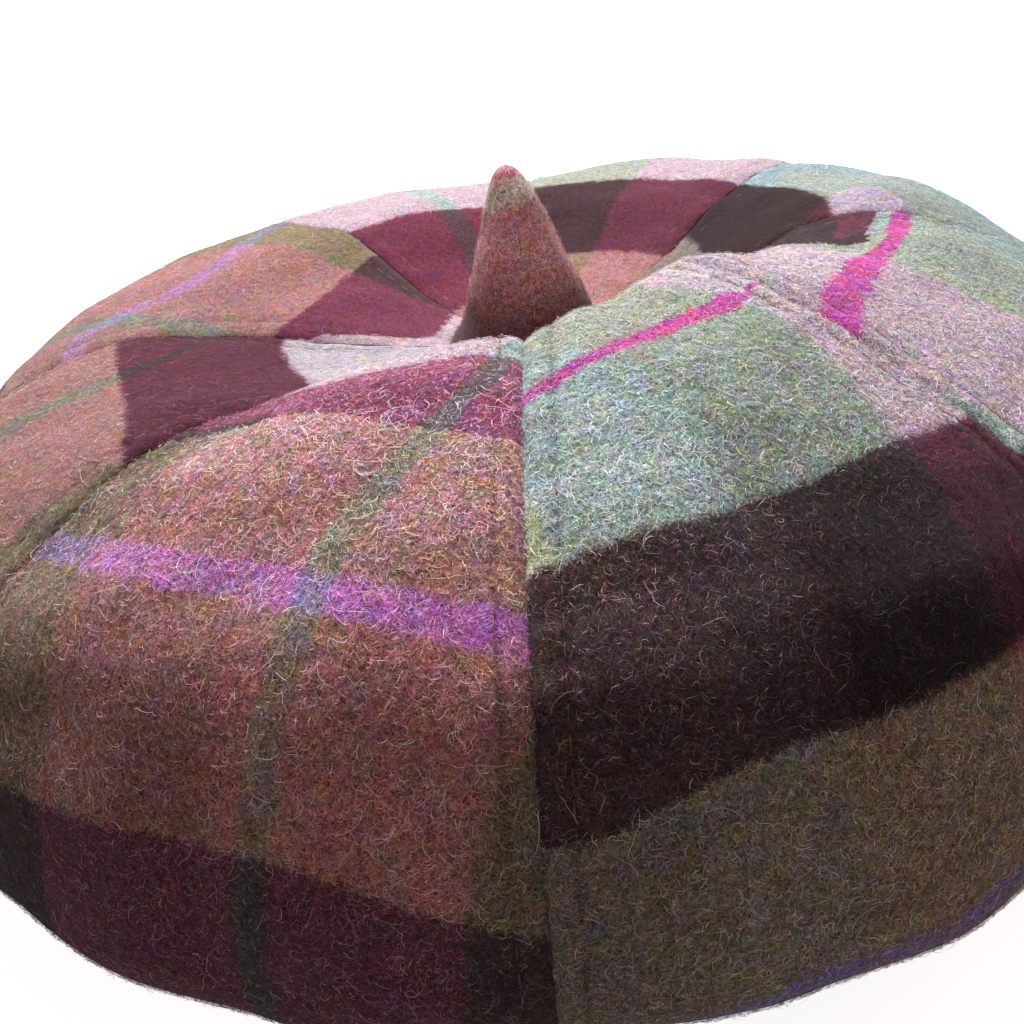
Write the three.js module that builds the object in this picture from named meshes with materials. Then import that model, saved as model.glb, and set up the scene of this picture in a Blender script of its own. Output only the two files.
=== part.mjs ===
// Eight-panel tweed tam: a puffy round crown with a dished top, a cloth stalk in the dish,
// and a plain band round the head opening. Millimetres, +Z up, front towards -Y.
import * as THREE from 'three';

// ---- Driving sizes ---------------------------------------------------------------------
const WALL = 2.0; // cloth thickness
const SEAM_GAP = 0.36; // clear gap between two neighbouring panels
const JOIN_GAP = 0.3; // clear gap where panels meet the stalk and the band
const DISH_Z = 85.0; // bottom of the dish, where the stalk is sewn in
const UNDER_Z = 16.5; // underside of the crown, above the surface that the hat stands on
const UNDER_TURN = 34.0; // how far the rim rolls inwards underneath
const SHOULDER_POWER = 2.0; // 2 is an ellipse from crest to rim, more is squarer
const DIP_HALF_WIDTH = 15.0; // how far a seam's hollow reaches sideways
const PUFF_POWER = 0.8; // under 1 gives full panels with a narrow groove at each seam
const ROLL_OUT = 2.0; // in front the cloth rolls over sharply a little below the crest
const ROLL_ROW = 14.2; // grid row of that roll, and how many rows it spreads over
const ROLL_ROWS = 1.7;

const STALK_TOP_Z = 123.5;
const STALK_WALL = 2.0;
const STALK_LEAN_X = -2.8; // sideways shift of the tip
const STALK_SIDES = 28;

const BAND_INNER_R = 91.5; // 575 mm round the inside
const BAND_WALL = 3.0;
const BAND_HEIGHT = 23.0;
const BAND_SIDES = 72;

// One row for each seam, counted from the front seam towards +X.
// turn is how many degrees the slouch has pulled the seam round from its even place,
// crest is the highest ring round the dish, rim the widest ring of the crown,
// dip the extra depth of the hollow that follows the seam over the shoulder.
const SEAMS = [
  { seam: 'front', turn: 0.0, crest_r: 58.7, crest_z: 107.1, rim_r: 140.8, rim_z: 39.8, dip: 0.0 },
  { seam: 'right_front', turn: 0.0, crest_r: 45.8, crest_z: 106.5, rim_r: 138.1, rim_z: 41.7, dip: 0.0 },
  { seam: 'right', turn: 8.0, crest_r: 65.8, crest_z: 104.4, rim_r: 140.0, rim_z: 42.3, dip: 0.0 },
  { seam: 'back_right', turn: 0.0, crest_r: 86.1, crest_z: 102.9, rim_r: 140.6, rim_z: 41.3, dip: 0.0 },
  { seam: 'back', turn: 0.0, crest_r: 79.6, crest_z: 99.4, rim_r: 140.6, rim_z: 41.4, dip: 0.0 },
  { seam: 'back_left', turn: 0.0, crest_r: 71.3, crest_z: 99.3, rim_r: 145.4, rim_z: 42.5, dip: 0.0 },
  { seam: 'left', turn: 0.0, crest_r: 81.0, crest_z: 93.6, rim_r: 146.6, rim_z: 41.8, dip: 1.5 },
  { seam: 'left_front', turn: 0.0, crest_r: 82.0, crest_z: 95.9, rim_r: 143.9, rim_z: 39.8, dip: 0.3 },
];

// One row for each panel; panel k lies between seam k and the next one.
const PANELS = [
  { name: 'gore_front_right', puff: 2.0, colour: 0x6f6a5c },
  { name: 'gore_right', puff: 2.0, colour: 0x9b8a90 },
  { name: 'gore_right_back', puff: 2.0, colour: 0x6d5a52 },
  { name: 'gore_back_right', puff: 2.0, colour: 0x6f4a4e },
  { name: 'gore_back_left', puff: 2.0, colour: 0x7a5054 },
  { name: 'gore_left_back', puff: 2.4, colour: 0x8f6a5e },
  { name: 'gore_left', puff: 2.6, colour: 0x7d5552 },
  { name: 'gore_front_left', puff: 2.0, colour: 0x74524a },
];

// Where the crest stands up or is pressed in between the seams: degrees from the front seam and
// spread to either side, grid row, its spread in rows towards the stalk and towards the rim, height.
const SWELLS = [
  { turn: 48.0, spread: 7.2, row: 8.0, inward: 3.2, outward: 1.9, rise: 4.2 },
  { turn: 20.5, spread: 5.5, row: 8.0, inward: 4.0, outward: 1.9, rise: -3.0 },
  { turn: 339.0, spread: 8.5, row: 8.0, inward: 4.0, outward: 1.9, rise: 2.0 },
  { turn: 3.0, spread: 6.0, row: 8.0, inward: 4.0, outward: 1.9, rise: -2.5 },
  { turn: 226.0, spread: 4.5, row: 10.0, inward: 3.5, outward: 3.0, rise: 1.9 },
];

// The stalk's outline, one row for each ring, measured down from its tip.
const STALK_RINGS = [
  { drop: 0.9, radius: 2.4 },
  { drop: 2.2, radius: 3.3 },
  { drop: 4.4, radius: 4.3 },
  { drop: 11.8, radius: 7.2 },
  { drop: 24.7, radius: 11.8 },
  { drop: 30.5, radius: 13.8 },
  { drop: 35.0, radius: 16.1 },
  { drop: 37.6, radius: 18.4 },
  { drop: 41.5, radius: 18.7 },
];

// Rows of the panel grid in each stretch of the profile, and cells across a panel.
const DISH_ROWS = 8;
const SHOULDER_ROWS = 12;
const TURN_ROWS = 7;
const UNDER_ROWS = 2;
const CELLS_ACROSS = 6;

const SEAM_STEP = (2 * Math.PI) / SEAMS.length;
const STALK_FOOT = STALK_RINGS[STALK_RINGS.length - 1];
const PANEL_FOOT_R = STALK_FOOT.radius + JOIN_GAP;
const PANEL_END_R = BAND_INNER_R + BAND_WALL + JOIN_GAP;

// ---- The crown's shape -----------------------------------------------------------------

// Angle of a seam from the front seam; the count goes on past a full turn.
function seamAngle(k) {
  const turn = SEAMS[k % SEAMS.length].turn;
  return k * SEAM_STEP + THREE.MathUtils.degToRad(turn);
}

// Smooth periodic curve through one column of the seam table, at an angle from the front seam.
function around(column, angle) {
  const n = SEAMS.length;
  let sum = 0;
  SEAMS.forEach((row, k) => {
    const x = angle - k * SEAM_STEP;
    let weight = 1 + Math.cos((n / 2) * x);
    for (let h = 1; h < n / 2; h += 1) weight += 2 * Math.cos(h * x);
    sum += (row[column] * weight) / n;
  });
  return sum;
}

// Smooth section at one angle, from the stalk over the crest and the rim to the band.
// lift is how far a panel may puff out at that station, from 0 to 1.
function section(angle) {
  const crestR = around('crest_r', angle);
  const crestZ = around('crest_z', angle);
  const rimR = around('rim_r', angle);
  const rimZ = around('rim_z', angle);
  const turnR = rimR - UNDER_TURN;
  const stations = [];
  for (let i = 0; i <= DISH_ROWS; i += 1) {
    const u = i / DISH_ROWS;
    const rise = 0.5 - 0.5 * Math.cos(Math.PI * u);
    stations.push({
      r: PANEL_FOOT_R + (crestR - PANEL_FOOT_R) * u,
      z: DISH_Z + (crestZ - DISH_Z) * rise,
    });
  }
  const power = 2 / SHOULDER_POWER;
  for (let i = 1; i <= SHOULDER_ROWS; i += 1) {
    const a = (i / SHOULDER_ROWS) * (Math.PI / 2);
    stations.push({
      r: crestR + (rimR - crestR) * Math.sin(a) ** power,
      z: rimZ + (crestZ - rimZ) * Math.max(Math.cos(a), 0) ** power,
    });
  }
  for (let i = 1; i <= TURN_ROWS; i += 1) {
    const a = (i / TURN_ROWS) * (Math.PI / 2);
    stations.push({
      r: turnR + UNDER_TURN * Math.cos(a),
      z: UNDER_Z + (rimZ - UNDER_Z) * (1 - Math.sin(a)),
    });
  }
  for (let i = 1; i <= UNDER_ROWS; i += 1) {
    stations.push({ r: turnR + ((PANEL_END_R - turnR) * i) / UNDER_ROWS, z: UNDER_Z });
  }
  const last = stations.length - 1;
  stations.forEach((s, i) => {
    s.lift = Math.max(Math.sin((Math.PI * i) / last), 0) ** 0.6;
  });
  return stations;
}

// Outward normals of a section in its own plane; both ends are square to the cloth.
function outward(stations) {
  const last = stations.length - 1;
  return stations.map((s, i) => {
    if (i === 0) return { r: 0, z: 1 };
    if (i === last) return { r: 0, z: -1 };
    const a = stations[i - 1];
    const b = stations[i + 1];
    const length = Math.hypot(b.r - a.r, b.z - a.z);
    return { r: -(b.z - a.z) / length, z: (b.r - a.r) / length };
  });
}

// How far the swellings push the cloth out at an angle and a grid row.
function swell(angle, row) {
  return SWELLS.reduce((sum, s) => {
    const turn = THREE.MathUtils.euclideanModulo(THREE.MathUtils.radToDeg(angle) - s.turn + 180, 360) - 180;
    const rows = (row - s.row) / (row < s.row ? s.inward : s.outward);
    return sum + s.rise * Math.exp(-0.5 * (turn / s.spread) ** 2 - rows ** 2);
  }, 0);
}

// The section with the panel's puff, the hollows of its two seams and the swellings added.
function puffedSection(panel, angle) {
  const stations = section(angle);
  const normals = outward(stations);
  const span = seamAngle(panel + 1) - seamAngle(panel);
  const across = (angle - seamAngle(panel)) / span; // 0 at one seam, 1 at the next
  const bulge = Math.max(Math.sin(Math.PI * across), 0) ** PUFF_POWER * PANELS[panel].puff;
  const near = SEAMS[panel].dip;
  const far = SEAMS[(panel + 1) % SEAMS.length].dip;
  const front = THREE.MathUtils.smoothstep(Math.cos(angle), 0.35, 0.8);
  return stations.map((s, i) => {
    const hollow = (dip, turn) => dip * Math.exp(-(((s.r * turn) / DIP_HALF_WIDTH) ** 2));
    const sink = hollow(near, across * span) + hollow(far, (1 - across) * span);
    const roll = ROLL_OUT * front * Math.exp(-(((i - ROLL_ROW) / ROLL_ROWS) ** 2));
    const out = (bulge - sink) * s.lift + roll + swell(angle, i);
    return { r: s.r + out * normals[i].r, z: s.z + out * normals[i].z };
  });
}

// Point of the crown at a radius and height, at an angle from the front towards +X.
function place(angle, r, z) {
  return [r * Math.sin(angle), -r * Math.cos(angle), z];
}

// ---- Pieces ----------------------------------------------------------------------------

function cloth(colour) {
  return new THREE.MeshStandardMaterial({ color: colour, roughness: 0.96, metalness: 0 });
}

function closedGeometry(points, triangles) {
  const geometry = new THREE.BufferGeometry();
  geometry.setAttribute('position', new THREE.Float32BufferAttribute(points.flat(), 3));
  geometry.setIndex(triangles.flat());
  geometry.computeVertexNormals();
  return geometry;
}

// A panel is a curved sheet of even thickness: an outer grid, an inner grid and its four edges.
function panelGeometry(panel) {
  const outer = [];
  const inner = [];
  const span = seamAngle(panel + 1) - seamAngle(panel);
  for (let c = 0; c <= CELLS_ACROSS; c += 1) {
    const whole = seamAngle(panel) + (c / CELLS_ACROSS) * span;
    const face = puffedSection(panel, whole);
    const normals = outward(face);
    const side = c === 0 ? 1 : c === CELLS_ACROSS ? -1 : 0;
    outer.push(
      face.map((s) => place(whole + (side * SEAM_GAP) / 2 / s.r, s.r, s.z)),
    );
    inner.push(
      face.map((s, i) => {
        const r = s.r - WALL * normals[i].r;
        return place(whole + (side * SEAM_GAP) / 2 / r, r, s.z - WALL * normals[i].z);
      }),
    );
  }
  const rows = outer[0].length;
  const points = [...outer.flat(), ...inner.flat()];
  const at = (layer, c, i) => (layer * (CELLS_ACROSS + 1) + c) * rows + i;
  const triangles = [];
  const quad = (a, b, c, d) => triangles.push([a, b, c], [a, c, d]);
  for (let c = 0; c < CELLS_ACROSS; c += 1) {
    for (let i = 0; i + 1 < rows; i += 1) {
      quad(at(0, c, i), at(0, c, i + 1), at(0, c + 1, i + 1), at(0, c + 1, i));
      quad(at(1, c, i), at(1, c + 1, i), at(1, c + 1, i + 1), at(1, c, i + 1));
    }
    quad(at(0, c, 0), at(0, c + 1, 0), at(1, c + 1, 0), at(1, c, 0));
    quad(at(0, c + 1, rows - 1), at(0, c, rows - 1), at(1, c, rows - 1), at(1, c + 1, rows - 1));
  }
  for (let i = 0; i + 1 < rows; i += 1) {
    quad(at(0, 0, i + 1), at(0, 0, i), at(1, 0, i), at(1, 0, i + 1));
    const e = CELLS_ACROSS;
    quad(at(0, e, i), at(0, e, i + 1), at(1, e, i + 1), at(1, e, i));
  }
  return closedGeometry(points, triangles);
}

// Solid of revolution about +Z from [radius, height] pairs.
function turned(profile, sides) {
  const geometry = new THREE.LatheGeometry(
    profile.map(([r, z]) => new THREE.Vector2(r, z)),
    sides,
  );
  return geometry.rotateX(Math.PI / 2);
}

// The stalk is a hollow cone of cloth with a rounded tip, open underneath and leaning a little.
function stalkGeometry() {
  const height = (ring) => STALK_TOP_Z - ring.drop;
  const lined = STALK_RINGS.filter((ring) => ring.radius > 2 * STALK_WALL);
  const profile = [[0, height(lined[0]) - STALK_WALL]];
  lined.forEach((ring, i) => {
    const sink = i === lined.length - 1 ? 0 : STALK_WALL; // the foot's edge is level
    if (height(ring) - sink > height(STALK_FOOT) || sink === 0) {
      profile.push([ring.radius - STALK_WALL, height(ring) - sink]);
    }
  });
  [...STALK_RINGS].reverse().forEach((ring) => profile.push([ring.radius, height(ring)]));
  profile.push([0, STALK_TOP_Z]);
  const geometry = turned(profile, STALK_SIDES);
  const position = geometry.attributes.position;
  for (let i = 0; i < position.count; i += 1) {
    const rise = Math.max((position.getZ(i) - DISH_Z) / (STALK_TOP_Z - DISH_Z), 0);
    position.setX(i, position.getX(i) + STALK_LEAN_X * rise ** 1.2);
  }
  geometry.computeVertexNormals();
  return geometry;
}

// The band is an upright ring of doubled cloth; its lower edge is flat where it stands.
function bandGeometry() {
  const r0 = BAND_INNER_R;
  const r1 = BAND_INNER_R + BAND_WALL;
  return turned(
    [
      [r0, 0],
      [r1, 0],
      [r1, BAND_HEIGHT - 0.8],
      [r1 - 0.8, BAND_HEIGHT],
      [r0 + 0.8, BAND_HEIGHT],
      [r0, BAND_HEIGHT - 0.8],
      [r0, 0],
    ],
    BAND_SIDES,
  );
}

function piece(name, geometry, colour) {
  const mesh = new THREE.Mesh(geometry, cloth(colour));
  mesh.name = name;
  return mesh;
}

const hat = new THREE.Group();
PANELS.forEach((row, k) => hat.add(piece(row.name, panelGeometry(k), row.colour)));
hat.add(piece('stalk', stalkGeometry(), 0x6a4442));
hat.add(piece('head_band', bandGeometry(), 0x5b4640));

// The origin is the middle of the hat's outline, on the surface that it stands on.
const outline = new THREE.Box3().setFromObject(hat);
const middle = outline.getCenter(new THREE.Vector3());
hat.position.set(-middle.x, -middle.y, -outline.min.z);

const part = new THREE.Group();
part.add(hat);

export default part;
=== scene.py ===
# Looks of the tweed tam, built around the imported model: eight sewn gores, a cloth stalk and a
# head band, with their stitching and the brushed nap of the cloth. Shapes are worked out in
# millimetres about the hat's upright axis and written in metres.
import math

import bpy
import numpy as np
from mathutils import Matrix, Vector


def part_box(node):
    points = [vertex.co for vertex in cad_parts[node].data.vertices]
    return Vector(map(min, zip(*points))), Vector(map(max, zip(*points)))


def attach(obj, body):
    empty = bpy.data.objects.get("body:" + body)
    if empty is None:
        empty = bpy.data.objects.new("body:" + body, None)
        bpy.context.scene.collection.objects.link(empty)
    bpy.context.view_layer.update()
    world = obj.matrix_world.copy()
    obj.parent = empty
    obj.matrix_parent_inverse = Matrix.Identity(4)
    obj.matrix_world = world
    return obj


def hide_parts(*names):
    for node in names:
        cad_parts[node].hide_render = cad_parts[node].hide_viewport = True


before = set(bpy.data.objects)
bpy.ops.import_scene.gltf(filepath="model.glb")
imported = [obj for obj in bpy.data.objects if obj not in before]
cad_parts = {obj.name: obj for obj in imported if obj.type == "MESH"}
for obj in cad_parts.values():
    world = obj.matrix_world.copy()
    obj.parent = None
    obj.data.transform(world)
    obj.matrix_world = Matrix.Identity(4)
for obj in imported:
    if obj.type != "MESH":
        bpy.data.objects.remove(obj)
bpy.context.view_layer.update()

_low, _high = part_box("head_band")
AXIS = np.array([(_low[0] + _high[0]) / 2, (_low[1] + _high[1]) / 2, 0.0])
MM = 0.001

# ---- The crown's shape, as in the solids ------------------------------------------------------

# One row for each seam from the front towards +X: turn, crest r, crest z, rim r, rim z, dip.
SEAMS = np.array([
    [0.0, 58.7, 107.1, 140.8, 39.8, 0.0],
    [0.0, 45.8, 106.5, 138.1, 41.7, 0.0],
    [8.0, 65.8, 104.4, 140.0, 42.3, 0.0],
    [0.0, 86.1, 102.9, 140.6, 41.3, 0.0],
    [0.0, 79.6, 99.4, 140.6, 41.4, 0.0],
    [0.0, 71.3, 99.3, 145.4, 42.5, 0.0],
    [0.0, 81.0, 93.6, 146.6, 41.8, 1.5],
    [0.0, 82.0, 95.9, 143.9, 39.8, 0.3],
])
STEP = 2 * math.pi / 8
DISH_Z, UNDER_Z, TURN, FOOT_R, END_R = 85.0, 16.5, 34.0, 19.0, 94.8
ROWS_DISH, ROWS_SHOULDER, ROWS_TURN, ROWS_UNDER = 8, 12, 7, 2
ROWS_ALL = ROWS_DISH + ROWS_SHOULDER + ROWS_TURN + ROWS_UNDER
WALL = 2.0
DIP_HALF_WIDTH = 15.0
ROLL_OUT, ROLL_ROW, ROLL_ROWS = 2.0, 14.2, 1.7
# where the crest stands up or is pressed in: degrees from the front, spread, row, its spread inwards
# and outwards, height
SWELLS = [(48.0, 7.2, 8.0, 3.2, 1.9, 4.2), (20.5, 5.5, 8.0, 4.0, 1.9, -3.0), (339.0, 8.5, 8.0, 4.0, 1.9, 2.0),
          (3.0, 6.0, 8.0, 4.0, 1.9, -2.5), (226.0, 4.5, 10.0, 3.5, 3.0, 1.9)]


def seam_angle(k):
    return k * STEP + math.radians(SEAMS[k % 8, 0])


def around(column, angle):
    total = np.zeros_like(angle)
    for k in range(8):
        x = angle - k * STEP
        weight = 1 + np.cos(4 * x) + 2 * (np.cos(x) + np.cos(2 * x) + np.cos(3 * x))
        total += SEAMS[k, column] * weight / 8
    return total


def section(angle, q):
    """Radius and height at station q, from 0 at the stalk to ROWS_ALL at the band."""
    crest_r, crest_z, rim_r, rim_z = (around(c, angle) for c in (1, 2, 3, 4))
    a = np.clip(q / ROWS_DISH, 0, 1)
    b = np.clip((q - ROWS_DISH) / ROWS_SHOULDER, 0, 1) * math.pi / 2
    c = np.clip((q - ROWS_DISH - ROWS_SHOULDER) / ROWS_TURN, 0, 1) * math.pi / 2
    d = np.clip((q - ROWS_DISH - ROWS_SHOULDER - ROWS_TURN) / ROWS_UNDER, 0, 1)
    r = FOOT_R + (crest_r - FOOT_R) * a + (rim_r - crest_r) * np.sin(b)
    r = r - TURN * (1 - np.cos(c)) + (END_R - rim_r + TURN) * d
    z = DISH_Z + (crest_z - DISH_Z) * (0.5 - 0.5 * np.cos(math.pi * a))
    z = z - (crest_z - rim_z) * (1 - np.cos(b)) - (rim_z - UNDER_Z) * np.sin(c)
    return r, z


def swell(angle, q):
    total = np.zeros_like(q)
    for turn, spread, row, inward, outward, rise in SWELLS:
        off = np.mod(np.degrees(angle) - turn + 180, 360) - 180
        total = total + rise * np.exp(-0.5 * (off / spread) ** 2 - ((q - row) / np.where(q < row, inward, outward)) ** 2)
    return total


def crown(panel, angle, q, puff):
    """The panel's outer face in mm, set out along its outward direction in the section's own plane."""
    r, z = section(angle, q)
    e = 0.02
    r0, z0 = section(angle, np.clip(q - e, 0, ROWS_ALL))
    r1, z1 = section(angle, np.clip(q + e, 0, ROWS_ALL))
    length = np.hypot(r1 - r0, z1 - z0) + 1e-12
    n_r, n_z = -(z1 - z0) / length, (r1 - r0) / length
    start, span = seam_angle(panel), seam_angle(panel + 1) - seam_angle(panel)
    across = np.clip((angle - start) / span, 0, 1)
    bulge = np.maximum(np.sin(math.pi * across), 0) ** 0.8 * puff
    hollow = lambda dip, turn: dip * np.exp(-((r * turn / DIP_HALF_WIDTH) ** 2))
    sink = hollow(SEAMS[panel, 5], across * span) + hollow(SEAMS[(panel + 1) % 8, 5], (1 - across) * span)
    lift = np.maximum(np.sin(math.pi * q / ROWS_ALL), 0) ** 0.6
    # in front the cloth rolls over sharply a little below the crest
    roll = ROLL_OUT * np.exp(-(((q - ROLL_ROW) / ROLL_ROWS) ** 2)) * smooth(np.cos(angle), 0.35, 0.8)
    out = (bulge - sink) * lift + roll + swell(angle, q)
    r, z = r + out * n_r, z + out * n_z
    return np.stack([r * np.sin(angle), -r * np.cos(angle), z], -1)


# ---- Small tools ------------------------------------------------------------------------------

def waves(points, wavelength, count, seed):
    """Smooth seeded noise in space, about -1 to 1: a sum of plane waves."""
    rng = np.random.default_rng(seed)
    total = np.zeros(points.shape[:-1])
    for _ in range(count):
        d = rng.normal(size=3)
        d *= 2 * math.pi / (np.linalg.norm(d) * wavelength * rng.uniform(0.75, 1.35))
        total += np.sin(points @ d + rng.uniform(0, 2 * math.pi))
    return total / math.sqrt(count / 2) * 0.6


def smooth(x, low, high):
    t = np.clip((x - low) / (high - low), 0, 1)
    return t * t * (3 - 2 * t)


def spline(knots, values, x):
    """Catmull-Rom curve through the knots, level past the ends."""
    knots, values = np.asarray(knots, float), np.asarray(values, float)
    slope = np.gradient(values, knots)
    x = np.clip(x, knots[0], knots[-1])
    i = np.clip(np.searchsorted(knots, x) - 1, 0, len(knots) - 2)
    h = knots[i + 1] - knots[i]
    t = (x - knots[i]) / h
    return ((2 * t**3 - 3 * t**2 + 1) * values[i] + (t**3 - 2 * t**2 + t) * h * slope[i]
            + (3 * t**2 - 2 * t**3) * values[i + 1] + (t**3 - t**2) * h * slope[i + 1])


def unit(v):
    return v / (np.linalg.norm(v, axis=-1, keepdims=True) + 1e-12)


def make(name, points, faces, material, uvs=None, flat_from=None, tint=None):
    """A mesh object from points in mm and arrays of faces; uvs maps a name to one pair a corner."""
    mesh = bpy.data.meshes.new(name)
    mesh.vertices.add(len(points))
    mesh.vertices.foreach_set("co", (points * MM + AXIS).astype(np.float32).ravel())
    corners = np.concatenate([f.ravel() for f in faces]).astype(np.int32)
    sizes = np.concatenate([np.full(len(f), f.shape[1]) for f in faces])
    mesh.loops.add(len(corners))
    mesh.loops.foreach_set("vertex_index", corners)
    mesh.polygons.add(len(sizes))
    mesh.polygons.foreach_set("loop_start", np.concatenate([[0], np.cumsum(sizes)[:-1]]).astype(np.int32))
    soft = np.ones(len(sizes), bool)
    if flat_from is not None:
        soft[flat_from:] = False
    mesh.polygons.foreach_set("use_smooth", soft)
    for key, value in (uvs or {}).items():
        layer = mesh.uv_layers.new(name=key)
        layer.data.foreach_set("uv", value.astype(np.float32).ravel())
    if tint is not None:
        attribute = mesh.color_attributes.new("Tint", "FLOAT_COLOR", "POINT")
        rgba = np.concatenate([tint, np.ones((len(tint), 1))], 1)
        attribute.data.foreach_set("color", rgba.astype(np.float32).ravel())
    mesh.update(calc_edges=True)
    mesh.validate()
    mesh.materials.append(material)
    obj = bpy.data.objects.new(name, mesh)
    bpy.context.scene.collection.objects.link(obj)
    return obj


# ---- The plaid --------------------------------------------------------------------------------

# Repeats in mm, mirrored at both ends. Weft colours by the distance from the magenta line, on the
# sage warp and on the rose warp.
WARP_HALF, WEFT_HALF = 80.0, 113.5
THIN_WARP, ROSE_WARP = 3.0, 40.0
WEFT = [  # (reaches to, colour on sage warp, colour on rose warp)
    (2.7, (0.56, 0.075, 0.33), (0.62, 0.080, 0.365)),     # magenta line
    (39.5, (0.38, 0.42, 0.37), (0.56, 0.41, 0.475)),      # light ground
    (77.5, (0.072, 0.038, 0.044), (0.180, 0.043, 0.077)),  # dark ground
    (110.3, (0.28, 0.20, 0.147), (0.43, 0.198, 0.188)),   # mid ground
    (200.0, (0.27, 0.19, 0.36), (0.50, 0.180, 0.44)),     # purple line
]
TEAL_WARP = 71.5  # past this the sage warp is bluer
OLIVE_TINT, TEAL_TINT, THIN_TINT = (1.05, 1.0, 0.92), (0.90, 1.02, 1.10), (0.90, 1.02, 1.08)
THIN_MORE = (0.030, 0.026, 0.020)
# one yellow-green patch beside the front seam: warp position below, weft between, tint
PATCH_WARP, PATCH_WEFT, PATCH_TINT = -97.5, (22.0, 39.5), (1.40, 1.42, 1.00)


def mirrored(x, half):
    return half - np.abs(np.mod(x, 2 * half) - half)


def plaid(v, w):
    """Colour of the cloth at warp position v and weft position w, in mm."""
    t, u = mirrored(v, WARP_HALF), mirrored(w, WEFT_HALF)
    rose = ((t > THIN_WARP) & (t < ROSE_WARP))[..., None]
    band = np.searchsorted([row[0] for row in WEFT], u)
    sage_colours = np.array([row[1] for row in WEFT])
    rose_colours = np.array([row[2] for row in WEFT])
    teal = smooth(np.abs(v), TEAL_WARP - 3, TEAL_WARP + 3)[..., None]
    tint = np.array(OLIVE_TINT) * (1 - teal) + np.array(TEAL_TINT) * teal
    tint = np.where((t < THIN_WARP)[..., None], THIN_TINT, tint)
    patch = (v < PATCH_WARP) & (w > PATCH_WEFT[0]) & (w < PATCH_WEFT[1])
    tint = np.where(patch[..., None], PATCH_TINT, tint)
    more = np.where((t < THIN_WARP)[..., None], THIN_MORE, 0.0)
    return np.where(rose, rose_colours[band], sage_colours[band] * tint + more)


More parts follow.
